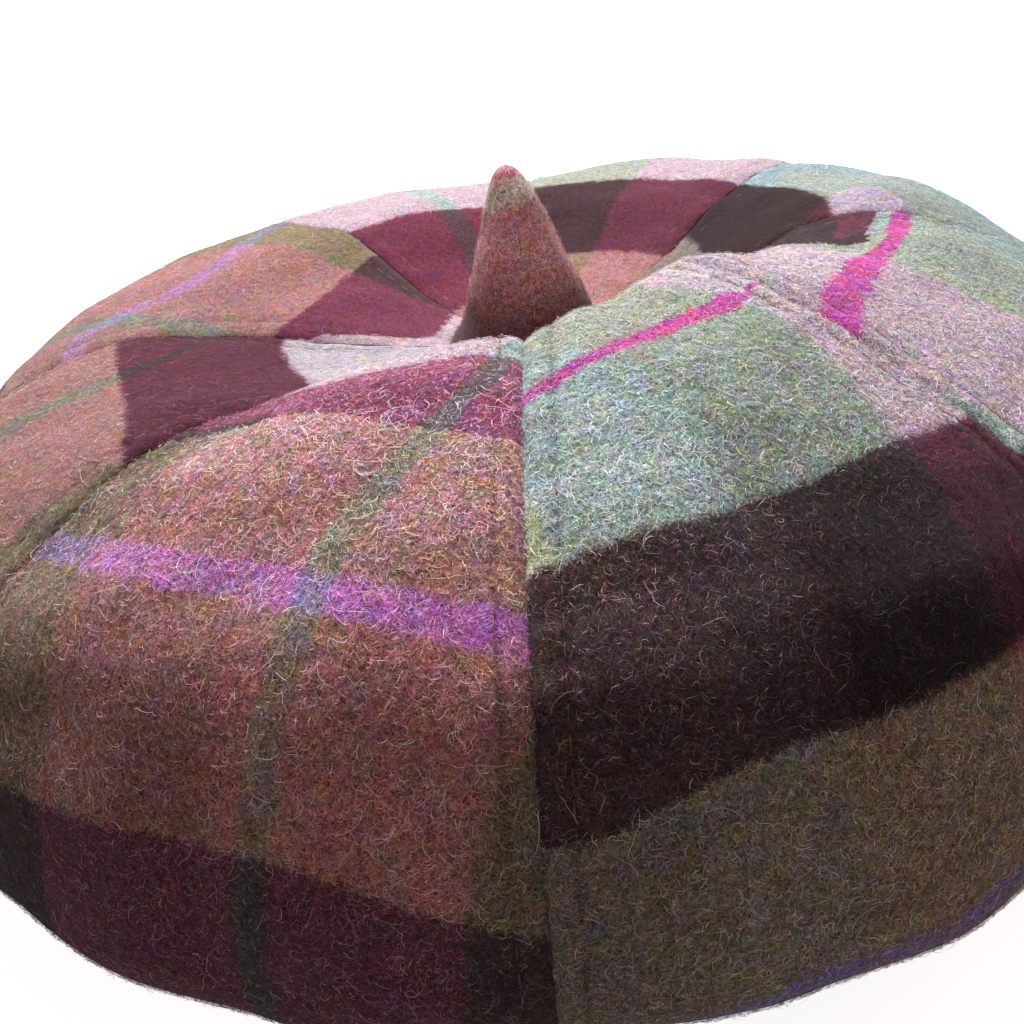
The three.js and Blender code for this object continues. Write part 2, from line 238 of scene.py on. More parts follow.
# How each gore was cut from the plaid. across: x in mm from the gore's middle line; each weft row is
# the weft position of a line and how far from the stalk it runs at each x. along: mm from the stalk;
# each warp row is the warp position of a line and its x there. nap: lie of the hairs in degrees.
GORES = [
    dict(name="gore_front_right", gap_shade_depth=1.0, groove=1.0, puff=2.0, nap=-35, across=(-45, -28, -15, 0, 10, 16, 19, 40),
         weft=[(-39.5, 22, 21, 20, 18, 16, 14.5, 13.5, 9), (-2.7, 60.5, 58.6, 55, 50.6, 52, 51.8, 53.9, 53),
               (2.7, 62.8, 61.2, 58, 54.6, 55.5, 56.5, 54.2, 53.2), (39.5, 100.3, 98.3, 98, 97.1, 96.6, 96.5, 96.4, 97),
               (77.5, 141, 135, 133, 133.2, 132.6, 132.2, 131.9, 129.8), (113.5, 182, 176.5, 173, 170.5, 169.5, 168.9, 168.6, 167),
               (149.5, 218, 212, 209, 207, 206, 205.4, 205.1, 203)],
         along=(40, 50, 58, 70, 95, 125, 160, 220), warp=[(-40, 5, 13, 19, 22, 20.5, 20.5, 23, 24)]),
    dict(name="gore_right", gap_shade_depth=0.3, groove=0.9, puff=2.0, nap=10, across=(-40, -28, -15, -3, 4, 20, 40),
         weft=[(-39.5, 16, 16, 16.5, 18, 47.5, 51.5, 52), (-2.7, 69.6, 64.4, 60.6, 57.8, 56.9, 55.2, 55.2),
               (2.7, 76.2, 71, 66.8, 63.6, 62.3, 61, 61.2), (39.5, 107, 105, 103, 100.3, 99, 97, 97),
               (77.5, 146, 144, 142, 139.4, 138.2, 136, 136), (113.5, 183, 181, 179, 176.4, 175.2, 173, 173)],
         along=(40, 50, 56, 90, 140, 220),
         warp=[(0, -42, -42, -43, -48.5, -52, -52), (40, 1, 2, 1, -8, -12, -12), (120, 24, 12, 58, 72, 68, 68)]),
    dict(name="gore_right_back", gap_shade_depth=0, groove=0.5, puff=2.0, nap=60, across=(-30, -15, 0, 15, 30),
         weft=[(149.5, 24, 25, 28, 33, 35), (187.5, 63, 60.5, 57, 54.5, 56), (227, 114, 110, 105, 100, 98),
               (266.5, 153, 149, 144, 139, 137), (304.5, 191, 187, 182, 177, 175)],
         along=(30, 48, 58, 70, 85, 220), warp=[(0, -73, -71, -57, -54, -80, -86)]),
    dict(name="gore_back_right", gap_shade_depth=0, groove=0.5, puff=2.0, nap=100, across=(-30, 0, 30),
         weft=[(149.5, 27, 27, 28), (187.5, 57.5, 59.5, 64), (227, 97, 99, 103), (304.5, 174, 176, 180)],
         along=(40, 220), warp=[(0, -38, -40)]),
    dict(name="gore_back_left", gap_shade_depth=0, groove=0.5, puff=2.0, nap=80, across=(-30, 0, 30),
         weft=[(149.5, 7, 8, 11), (187.5, 43, 46, 51), (227, 83, 86, 91), (304.5, 160, 163, 168)],
         along=(40, 220), warp=[(0, -3, -5)]),
    dict(name="gore_left_back", gap_shade_depth=0, groove=0.6, puff=2.4, nap=120, across=(-30, -15, -5, 0, 5, 8, 14, 20, 32),
         weft=[(39.5, 8, 9, 6, 4, 5, 10, 23, 31, 38), (77.5, 39, 36.5, 34.5, 33.2, 33, 33, 33.6, 35.2, 46),
               (113.5, 76, 68.5, 65, 63.5, 64, 64.6, 67, 73, 86), (149.5, 107, 104.5, 103, 102.5, 102.6, 103, 104, 107, 114),
               (187.5, 145, 143, 142, 141.5, 141.6, 142, 142.5, 144, 148)],
         along=(30, 60, 220), warp=[(-40, -10.5, -10.5, -12), (0, 25, 26, 28)]),
    dict(name="gore_left", gap_shade_depth=0, groove=0.8, puff=2.6, nap=150, across=(-40, -20, 0, 20, 40),
         weft=[(0, -4, -4, -5, -4, -3), (39.5, 40, 38.5, 35, 39, 44), (77.5, 79, 73, 70, 73.5, 84),
               (113.5, 114, 109, 106, 109, 118), (149.5, 150, 145, 142, 145, 154), (187.5, 188, 183, 180, 183, 192)],
         along=(40, 52, 60, 66, 75, 90, 220), warp=[(0, -36, -32, -14, -9, -3, -1, -1), (38, 36, 36, 36, 36, 36, 37, 37)]),
    dict(name="gore_front_left", gap_shade_depth=1.0, groove=1.0, puff=2.0, nap=80, across=(-45, -20, -10, 0, 20, 40, 55),
         weft=[(39.5, 42, 49, 57, 58, 60, 68, 78), (77.5, 73, 67, 68.2, 71, 78.5, 87, 96), (113.5, 98.3, 101, 102.4, 103.6, 108.2, 113.6, 118),
               (149.5, 145, 143.5, 143, 143, 145, 151, 156), (187.5, 184, 182, 182, 182, 184.5, 190.5, 195)],
         along=(40, 58, 63, 66, 72, 80, 95, 120, 142, 170, 220),
         warp=[(-40, -60, -52, -24, -11, -18, -26, -27.5, -25, -25.5, -27, -28),
               (0, 38, 29.5, 27, 26.3, 24.3, 21.5, 16.6, 15, 14, 13, 12.5),
               (40, 78, 69.5, 67, 66.3, 64.3, 61.5, 58, 54, 45.5, 43, 41)]),
]


# Where the cloth is made deeper or paler, partly as dye and partly as painted light and shade (a painted shadow on the
# front gore's right side, a painted highlight on the front crest and the like): gore, ground, x from, to, s from, to,
# factor for red, green, blue.
DYES_AND_PAINTED_LIGHT = [
    (0, "dark", -99, -20, 96, 143, (1.38, 1.25, 1.08)), (0, "dark", -8, 99, 94, 143, (0.39, 0.38, 0.42)),
    (0, "dark", 21, 99, 94, 165, (0.68, 0.14, 0.36)), (0, "dark", 21, 99, 92, 106, (1.58, 1.9, 1.95)), (0, "light", -12, 21, 56, 102, (0.71, 0.77, 0.79)),
    (0, "light", -40, -12, 80, 102, (1.22, 1.20, 1.18)), (0, "light", -99, 0, 0, 62, (0.92, 0.92, 0.94)),
    (0, "light", 10, 99, 0, 62, (1.0, 1.12, 1.05)), (0, "mid", -30, 99, 120, 200, (1.10, 1.10, 1.09)),
    (0, "mid", -99, -30, 120, 200, (0.94, 0.90, 0.90)), (1, "light", -99, 0, 0, 62, (1.0, 1.08, 1.04)),
    (1, "dark", -99, 99, 0, 60, (0.72, 0.62, 0.66)), (1, "dark", -99, 99, 92, 180, (0.50, 0.32, 0.42)),
    (1, "light", 0, 99, 60, 150, (0.84, 0.92, 0.95)), (1, "light", -99, 0, 66, 150, (0.92, 0.94, 0.94)),
    (2, "dark", -99, 99, 0, 80, (0.45, 0.28, 0.29)), (2, "light", -99, 99, 40, 150, (0.87, 0.93, 1.05)),
    (3, "dark", -99, 99, 0, 80, (0.80, 0.54, 0.67)), (4, "dark", -99, 99, 0, 80, (1.08, 0.64, 0.84)),
    (5, "dark", -99, 99, 0, 60, (1.08, 0.80, 1.0)), (5, "mid", 4, 99, 40, 150, (0.92, 0.97, 0.99)),
    (5, "mid", -99, -11, 30, 150, (0.88, 0.95, 0.84)), (5, "purple", -99, 99, 50, 120, (0.88, 1.18, 0.84)),
    (6, "purple", -99, 99, 90, 130, (0.88, 1.15, 0.84)), (6, "dark", -99, 99, 20, 90, (0.57, 0.41, 0.50)),
    (6, "mid", -99, 99, 60, 150, (0.80, 0.84, 0.83)), (6, "light", -99, 99, 0, 60, (0.86, 1.02, 0.96)),
    (7, "dark", -8, 99, 40, 98, (1.86, 1.85, 2.05)), (7, "dark", -99, -8, 40, 98, (1.25, 1.20, 1.30)),
    (7, "mid", -99, -25, 110, 180, (0.84, 0.76, 0.76)), (7, "mid", -99, -22, 60, 110, (0.76, 0.78, 0.75)),
    (7, "mid", -22, 14, 62, 84, (1.34, 1.39, 1.47)), (7, "mid", 6, 99, 114, 160, (1.17, 1.0, 1.0)),
    (7, "mid", -23, -12, 112, 160, (0.96, 0.88, 0.88)), (7, "mid", -12, 7, 110, 160, (0.78, 0.71, 0.71)),
    (7, "mid", -20, 45, 84, 108, (1.07, 1.0, 0.98)), (7, "mid", 20, 99, 70, 104, (1.08, 1.18, 1.22)),
    (7, "purple", 8, 99, 95, 126, (1.30, 1.10, 1.27)), (7, "mid", 45, 99, 119, 165, (0.64, 0.80, 0.78)), (7, "dark", -99, 99, 130, 200, (0.93, 1.10, 1.10)),
]
GROUNDS = {"light": (-9.0, 39.5), "dark": (39.5, 77.5), "mid": (77.5, 110.3), "purple": (110.3, 999.0)}


# factor of dye and of painted light and shade at each point
def dye_and_painted_light(k, x, s, w):
    total = np.ones(x.shape + (3,))
    u = mirrored(w, WEFT_HALF)
    for gore, ground, x0, x1, s0, s1, factor in DYES_AND_PAINTED_LIGHT:
        if gore == k:
            low, high = GROUNDS[ground]
            inside = smooth(x, x0 - 4, x0 + 4) * (1 - smooth(x, x1 - 4, x1 + 4)) * smooth(s, s0 - 3, s0 + 3) * (1 - smooth(s, s1 - 3, s1 + 3))
            inside = inside * smooth(u, low - 1, low + 1) * (1 - smooth(u, high - 1, high + 1))
            total = total * (1 + (np.array(factor) - 1) * inside[..., None])
    return total


def between(lines, places, at):
    """Position on the plaid from where its lines lie, going straight on past the ends."""
    value = lines[0] + (at - places[0])
    for a in range(len(lines) - 1):
        part = (at - places[a]) / (places[a + 1] - places[a])
        value = np.where(at > places[a], lines[a] + part * (lines[a + 1] - lines[a]), value)
    return np.where(at > places[-1], lines[-1] + (at - places[-1]), value)


def chart(gore, x, s):
    """Warp and weft position on the plaid, from x across and s along the gore."""
    v = between([row[0] for row in gore["warp"]], [spline(gore["along"], row[1:], s) for row in gore["warp"]], x)
    w = between([row[0] for row in gore["weft"]], [spline(gore["across"], row[1:], x) for row in gore["weft"]], s)
    return v, w


# ---- Materials --------------------------------------------------------------------------------

class Tree:
    """Short forms for building a material's nodes."""

    def __init__(self, name):
        self.material = bpy.data.materials.new(name)
        self.material.use_nodes = True
        self.nodes, self.links = self.material.node_tree.nodes, self.material.node_tree.links
        self.shader = next(n for n in self.nodes if n.type == "BSDF_PRINCIPLED")

    def put(self, socket, value):
        if isinstance(value, bpy.types.NodeSocket):
            self.links.new(value, socket)
        elif value is not None:
            socket.default_value = value

    def math(self, kind, a, b=None, c=None, clamp=False):
        n = self.nodes.new("ShaderNodeMath")
        n.operation, n.use_clamp = kind, clamp
        for socket, value in zip(n.inputs, (a, b, c)):
            self.put(socket, value)
        return n.outputs[0]

    def vector(self, kind, a, b=None, scale=None):
        n = self.nodes.new("ShaderNodeVectorMath")
        n.operation = kind
        self.put(n.inputs[0], a)
        self.put(n.inputs[1], b)
        if scale is not None:
            self.put(n.inputs["Scale"], scale)
        return n.outputs[0]

    def mix(self, factor, a, b, kind="MIX"):
        n = self.nodes.new("ShaderNodeMix")
        n.data_type, n.blend_type = "RGBA", kind
        self.put(n.inputs[0], factor)
        self.put(n.inputs[6], a)
        self.put(n.inputs[7], b)
        return n.outputs[2]

    def noise(self, where, scale, detail=1.0, rough=0.5, distortion=0.0):
        n = self.nodes.new("ShaderNodeTexNoise")
        self.put(n.inputs["Vector"], where)
        for key, value in (("Scale", scale), ("Detail", detail), ("Roughness", rough), ("Distortion", distortion)):
            n.inputs[key].default_value = value
        return n.outputs[0], n.outputs[1]

    def ramp(self, factor, stops):
        n = self.nodes.new("ShaderNodeValToRGB")
        band = n.color_ramp
        while len(band.elements) < len(stops):
            band.elements.new(0.5)
        for element, (place, colour) in zip(band.elements, stops):
            element.position = place
            element.color = (*colour, 1.0)
        self.put(n.inputs[0], factor)
        return n.outputs[0]

    def step(self, value, low, high):
        n = self.nodes.new("ShaderNodeMapRange")
        n.interpolation_type = "SMOOTHSTEP"
        self.put(n.inputs["Value"], value)
        n.inputs["From Min"].default_value, n.inputs["From Max"].default_value = low, high
        return n.outputs[0]

    def split(self, vector):
        n = self.nodes.new("ShaderNodeSeparateXYZ")
        self.put(n.inputs[0], vector)
        return n.outputs[0], n.outputs[1], n.outputs[2]


def edge_stops(half, side):
    stops, soft = [], 0.5
    for k, row in enumerate(WEFT):
        start = 0.0 if k == 0 else (WEFT[k - 1][0] + soft) / half
        end = min((row[0] - soft) / half, 1.0)
        stops += [(start, row[side]), (end, row[side])]
    return stops


def tweed(name, sage_gain=(1, 1, 1), rose_gain=(1, 1, 1), foot=None, lively=1.0):
    """Brushed cloth. foot: heights in mm between which the colour goes from dark to full, partly a darker colour and
    partly painted shade at the foot of the stalk.
    """
    t = Tree(name)
    uv = t.nodes.new("ShaderNodeUVMap")
    uv.uv_map = "Cloth"
    place = t.nodes.new("ShaderNodeTexCoord")
    mm = t.vector("SCALE", place.outputs["Object"], scale=1000.0)
    cloth = t.vector("SCALE", uv.outputs[0], scale=100.0)
    # the lines between colours wander with the nap
    _, wander = t.noise(mm, 0.42, 2.0, 0.6)
    _, ragged = t.noise(mm, 1.9, 1.0, 0.6)
    cloth = t.vector("ADD", cloth, t.vector("SCALE", t.vector("SUBTRACT", wander, (0.5, 0.5, 0.5)), scale=4.0))
    cloth = t.vector("ADD", cloth, t.vector("SCALE", t.vector("SUBTRACT", ragged, (0.5, 0.5, 0.5)), scale=2.4))
    v, w, _ = t.split(cloth)
    warp = t.math("DIVIDE", t.math("PINGPONG", v, WARP_HALF), WARP_HALF)
    weft = t.math("DIVIDE", t.math("PINGPONG", w, WEFT_HALF), WEFT_HALF)
    black, white = (0, 0, 0), (1, 1, 1)
    rose = t.ramp(warp, [(0.0, black), ((THIN_WARP - 0.5) / WARP_HALF, black), ((THIN_WARP + 0.5) / WARP_HALF, white),
                         ((ROSE_WARP - 0.6) / WARP_HALF, white), ((ROSE_WARP + 0.6) / WARP_HALF, black)])
    teal = t.step(t.math("ABSOLUTE", v), TEAL_WARP - 3, TEAL_WARP + 3)
    scaled = lambda tint, gain: tuple(a * b for a, b in zip(tint, gain))
    sage_tint = t.ramp(teal, [(0.0, scaled(OLIVE_TINT, sage_gain)), (1.0, scaled(TEAL_TINT, sage_gain))])
    thin = t.step(t.math("MULTIPLY", warp, WARP_HALF), THIN_WARP + 0.5, THIN_WARP - 0.5)
    sage_tint = t.mix(thin, sage_tint, (*scaled(THIN_TINT, sage_gain), 1.0))
    patch = t.math("MULTIPLY", t.step(v, PATCH_WARP + 1.2, PATCH_WARP - 1.2),
                   t.math("MULTIPLY", t.step(w, PATCH_WEFT[0], PATCH_WEFT[0] + 6), t.step(w, PATCH_WEFT[1] + 1, PATCH_WEFT[1])))
    sage_tint = t.mix(patch, sage_tint, (*PATCH_TINT, 1.0))
    sage = t.mix(1.0, t.ramp(weft, edge_stops(WEFT_HALF, 1)), sage_tint, "MULTIPLY")
    sage = t.mix(thin, sage, t.vector("ADD", sage, THIN_MORE))
    red = t.mix(1.0, t.ramp(weft, edge_stops(WEFT_HALF, 2)), (*rose_gain, 1.0), "MULTIPLY")
    colour = t.mix(rose, sage, red)
    # the Tint attribute carries the dye together with painted light and shade
    dye_and_light_tint = t.nodes.new("ShaderNodeVertexColor")
    dye_and_light_tint.layer_name = "Tint"
    colour = t.mix(1.0, colour, dye_and_light_tint.outputs[0], "MULTIPLY")
    # heather: hue drifts in blotches, and a little from fibre to fibre, less on the pale ground
    _, blotch = t.noise(mm, 0.26, 2.0, 0.55)
    _, fleck = t.noise(mm, 1.3, 1.0, 0.5, 0.4)
    r, g, b = (a * lively for a in (1.1, 1.1, 1.9))
    drift = t.vector("ADD", t.vector("MULTIPLY", blotch, (r, g, b)), (1 - r / 2, 1 - g / 2, 1 - b / 2))
    r, g, b = (a * lively for a in (0.5, 0.7, 0.9))
    drift = t.vector("MULTIPLY", drift, t.vector("ADD", t.vector("MULTIPLY", fleck, (r, g, b)), (1 - r / 2, 1 - g / 2, 1 - b / 2)))
    _, green, _ = t.split(colour)
    full = t.math("SUBTRACT", 1.0, t.math("MULTIPLY", t.step(green, 0.24, 0.36), 0.45))
    colour = t.mix(full, colour, t.vector("MULTIPLY", colour, drift))
    # tufts of random tone, painted shade in the gaps between fibres, and pale curled hairs of the nap
    tuft, _ = t.noise(mm, 0.85, 1.0, 0.5, 0.3)
    grain, _ = t.noise(mm, 3.1, 2.0, 0.65, 0.5)
    coarse, fine = 1.6 * lively, 2.6 * lively
    shade = t.math("MULTIPLY", t.math("ADD", t.math("MULTIPLY", tuft, coarse), 1 - coarse / 2),
                   t.math("MAXIMUM", t.math("ADD", t.math("MULTIPLY", grain, fine), 0.62 + 0.1 * (1 - lively) - fine / 2), 0.04))
    # towards the foot of the stalk: a darker colour and painted shade
    if foot is not None:
        _, _, height = t.split(mm)
        shade = t.math("MULTIPLY", shade, t.math("ADD", t.math("MULTIPLY", t.step(height, *foot), 0.82), 0.18))
    colour = t.mix(1.0, colour, shade, "MULTIPLY")
    curl_a, _ = t.noise(mm, 1.25, 1.0, 0.4, 1.4)
    curl_b, _ = t.noise(mm, 1.9, 1.0, 0.4, 1.0)
    hair_a = t.step(t.math("ABSOLUTE", t.math("SUBTRACT", curl_a, 0.5)), 0.026, 0.008)
    hair_b = t.step(t.math("ABSOLUTE", t.math("SUBTRACT", curl_b, 0.44)), 0.030, 0.010)
    curl_c, _ = t.noise(mm, 2.7, 1.0, 0.4, 0.9)
    hair_c = t.step(t.math("ABSOLUTE", t.math("SUBTRACT", curl_c, 0.53)), 0.034, 0.012)
    hair = t.math("MAXIMUM", t.math("MAXIMUM", hair_a, hair_b), hair_c)
    pale = t.vector("ADD", t.vector("SCALE", colour, scale=1.8), (0.018, 0.014, 0.012))
    colour = t.mix(t.math("MULTIPLY", hair, 0.6 * lively), colour, pale)
    bump = t.nodes.new("ShaderNodeBump")
    bump.inputs["Strength"].default_value = 0.5
    bump.inputs["Distance"].default_value = 0.0004
    t.put(bump.inputs["Height"], t.math("ADD", t.math("MULTIPLY", hair, 0.4), grain))
    t.put(t.shader.inputs["Base Color"], colour)
    t.put(t.shader.inputs["Normal"], bump.outputs[0])
    t.shader.inputs["Roughness"].default_value = 0.95
    t.shader.inputs["Specular IOR Level"].default_value = 0.1
    t.shader.inputs["Sheen Weight"].default_value = 0.15
    t.shader.inputs["Sheen Roughness"].default_value = 0.4
    return t.material


def hair_material(name):
    t = Tree(name)
    tint = t.nodes.new("ShaderNodeVertexColor")
    tint.layer_name = "Tint"
    t.put(t.shader.inputs["Base Color"], tint.outputs[0])
    t.shader.inputs["Roughness"].default_value = 0.8
    t.shader.inputs["Specular IOR Level"].default_value = 0.15
    t.shader.inputs["Sheen Weight"].default_value = 0.06
    return t.material


def thread_material(name):
    t = Tree(name)
    place = t.nodes.new("ShaderNodeTexCoord")
    mm = t.vector("SCALE", place.outputs["Object"], scale=1000.0)
    ply, _ = t.noise(mm, 2.2, 2.0, 0.6)
    t.put(t.shader.inputs["Base Color"], t.ramp(ply, [(0.3, (0.10, 0.042, 0.034)), (0.7, (0.28, 0.13, 0.095))]))
    t.shader.inputs["Roughness"].default_value = 0.7
    t.shader.inputs["Specular IOR Level"].default_value = 0.25
    return t.material


CROWN_TWEED = tweed("crown_tweed_look")
CALM_TWEED = tweed("crown_tweed_calm_look", lively=0.7)
# the stalk's tweed is a lighter copy of the crown's: its gains are painted light, and its foot gets painted shade
STALK_SAGE_PAINTED_LIGHT, STALK_ROSE_PAINTED_LIGHT, STALK_FOOT_SHADE = (2.65, 2.40, 2.50), (1.40, 1.28, 1.36), (88.0, 108.0)
STALK_TWEED = tweed("stalk_tweed_look", STALK_SAGE_PAINTED_LIGHT, STALK_ROSE_PAINTED_LIGHT, STALK_FOOT_SHADE)
BAND_TWEED = tweed("band_tweed_look")
HAIR = hair_material("nap_hairs")
THREAD = thread_material("seam_thread")

# ---- Hairs of the nap -------------------------------------------------------------------------

FLECKS = np.array([(0.62, 0.26, 0.09), (0.12, 0.34, 0.36), (0.20, 0.26, 0.52), (0.58, 0.50, 0.17), (0.42, 0.19, 0.50)])
HAIR_KINDS = [  # (share, points, shortest, longest, curl, lift, thinnest, thickest, how much paler), in mm
    (0.870, 3, 0.7, 1.8, 0.95, 0.30, 0.060, 0.095, 1.05),
    (0.115, 5, 1.5, 3.6, 0.85, 0.50, 0.055, 0.085, 1.15),
    (0.015, 7, 3.5, 7.5, 0.35, 0.90, 0.050, 0.070, 1.25),
]


def hair_tints(v, w, where, rng, calm):
    """Colour of each hair: the plaid at its root, heathered; calm is 1 where the cloth is liveliest."""
    n = len(v)
    calm = np.broadcast_to(calm, n)[:, None]
    base = plaid(v + rng.normal(0, 0.6, n), w + rng.normal(0, 0.6, n))
    light = smooth(base.min(1, keepdims=True), 0.1, 0.4)
    drift = np.stack([waves(where, 4.4, 14, 41 + c) + 0.6 * waves(where, 1.9, 14, 51 + c) for c in range(3)], -1)
    drift = drift * ((1 - light) * (0.8, 0.7, 1.2) + light * (0.9, 0.5, 1.3))
    tuft = waves(where, 1.4, 18, 61)[:, None]
    base = base * np.exp(calm * ((0.24 - 0.06 * light) * drift + 0.32 * tuft + rng.normal(0, 0.05, (n, 3)) + rng.normal(0, 0.45, (n, 1))))
    # paler, creamier hairs
    dark = smooth(-base.max(1, keepdims=True), -0.2, -0.05)
    pale = np.minimum(calm, 1) ** 2 * (rng.random((n, 1)) < 0.42 - 0.28 * dark) * (rng.uniform(0.3, 1.0, (n, 1)) - 0.15 * dark)
    cream = base**0.5
    cream = 0.8 * cream + 0.2 * cream.mean(1, keepdims=True) * (1.10, 1.0, 0.86)
    base = base * (1 - pale) + (1.22 - 0.25 * light) * cream * pale
    fleck = (rng.random((n, 1)) < 0.04 + 0.04 * light) * rng.uniform(0.3, 0.7, (n, 1)) * calm
    tone = np.clip(base.mean(1, keepdims=True) * 2.6, 0.05, 1.1)
    return base * (1 - fleck) + FLECKS[rng.integers(0, len(FLECKS), n)] * tone * fleck


def strands(root, normal, along, length, heading, curl, lift, width, nodes, rng):
    """Ribbon hairs that lie over a surface: points, and faces of three and four corners."""
    n = len(root)
    side_axis = unit(np.cross(along, normal))
    step = (length / (nodes - 1))[:, None]
    bend = np.cumsum(curl[:, None] * step + rng.normal(0, 0.35, (n, nodes)), axis=1)
    angle = heading[:, None] + bend
    run = np.cumsum(np.cos(angle) * step, 1)
    rise = np.cumsum(np.sin(angle) * step, 1)
    run, rise = run - run.mean(1, keepdims=True), rise - rise.mean(1, keepdims=True)
    t = np.linspace(0, 1, nodes)[None]
    kind = rng.random((n, 1))
    form = np.where(kind < 0.5, np.sin(math.pi * t), np.where(kind < 0.8, t**1.5, 0.5 + 0.5 * np.sin(2 * math.pi * t + 6.28 * kind)))
    height = 0.05 + rng.uniform(0, 0.18, (n, 1)) + lift[:, None] * form - (run**2 + rise**2) / 130.0
    line = root[:, None] + side_axis[:, None] * run[..., None] + along[:, None] * rise[..., None] + normal[:, None] * height[..., None]
    tangent = unit(np.gradient(line, axis=1))
    side = unit(np.cross(normal[:, None], tangent) + 0.35 * rng.normal(size=(n, 1, 1)) * normal[:, None])
    half = (width[:, None] / 2)[..., None] * side
    per = 2 + 2 * (nodes - 2)
    points = np.empty((n, per, 3))
    points[:, 0], points[:, -1] = line[:, 0], line[:, -1]
    points[:, 1:-1:2] = line[:, 1:-1] + half[:, 1:-1]
    points[:, 2:-1:2] = line[:, 1:-1] - half[:, 1:-1]
    base = (np.arange(n) * per)[:, None, None]
    three = base + np.array([[0, 2, 1], [per - 3, per - 2, per - 1]])[None]
    four = base + np.array([[1 + 2 * k, 2 + 2 * k, 4 + 2 * k, 3 + 2 * k] for k in range(nodes - 3)], int).reshape(-1, 4)[None]
    # a cell of its own for each hair in the second texture layout
    flat = np.empty((per, 2))
    flat[0], flat[-1] = (0.5, 0.0), (0.5, 1.0)
    flat[1:-1:2, 0], flat[2:-1:2, 0] = 0.0, 1.0
    flat[1:-1:2, 1] = flat[2:-1:2, 1] = np.linspace(0, 1, nodes)[1:-1]
    return points.reshape(-1, 3), three.reshape(-1, 3), four.reshape(-1, 4), flat, per


def hair_piece(name, root, normal, along, v, w, heading, rng, scale=1.0, calm=1.0, gain=None):
    """One joined mesh of hairs: mostly short nap, with some curls and a few long loose ones."""
    n = len(root)
    tints = hair_tints(v, w, root, rng, calm)
    if gain is not None:
        tints = tints * gain
    ends = np.cumsum([int(round(kind[0] * n)) for kind in HAIR_KINDS])
    ends[-1] = n
    points, threes, fours, colours, flats = [], [], [], [], []
    start = first = 0
    cells = int(math.ceil(math.sqrt(n)))
    for last, (_, nodes, low, high, curl, lift, thin, thick, paler) in zip(ends, HAIR_KINDS):
        part, m = slice(first, last), last - first
        p, a, b, flat, per = strands(root[part], normal[part], along[part], rng.uniform(low, high, m) * scale, heading[part],
                                     rng.normal(0, curl, m), rng.uniform(0.1, 1.0, m) * lift * scale, rng.uniform(thin, thick, m), nodes, rng)
        points.append(p)
        threes.append(a + start)
        fours.append(b + start)
        colours.append(np.repeat(np.clip(tints[part] * paler, 0.003, 0.92), per, 0))
        k = np.arange(first, last)
        corner = np.stack([k % cells, k // cells], -1)[:, None] + 0.15 + 0.7 * flat[None]
        flats.append((corner / cells).reshape(-1, 2))
        start += len(p)
        first = last
    points, flats = np.concatenate(points), np.concatenate(flats)
    points[:, 2] = np.maximum(points[:, 2], 0.1)
    three, four = np.concatenate(threes), np.concatenate(fours)
    corners = np.concatenate([three.ravel(), four.ravel()])
    return make(name, points, [three, four], HAIR, {"OFBake": flats[corners]}, tint=np.concatenate(colours))


# ---- Gores ------------------------------------------------------------------------------------

EDGE = np.array([0, 0.35, 0.8, 1.4, 2.2, 3.1, 3.9, 4.6, 5.3, 6.2, 7.5, 9.5])  # mm from a seam
MIDDLE_CELLS = 20
STATIONS = np.concatenate([
    np.linspace(0, 8, 35)[:-1], np.linspace(8, 20, 63)[:-1], np.linspace(20, 27, 31)[:-1], np.linspace(27, 29, 9)])
STITCH_AT, STITCH_PITCH = 4.6, 4.5


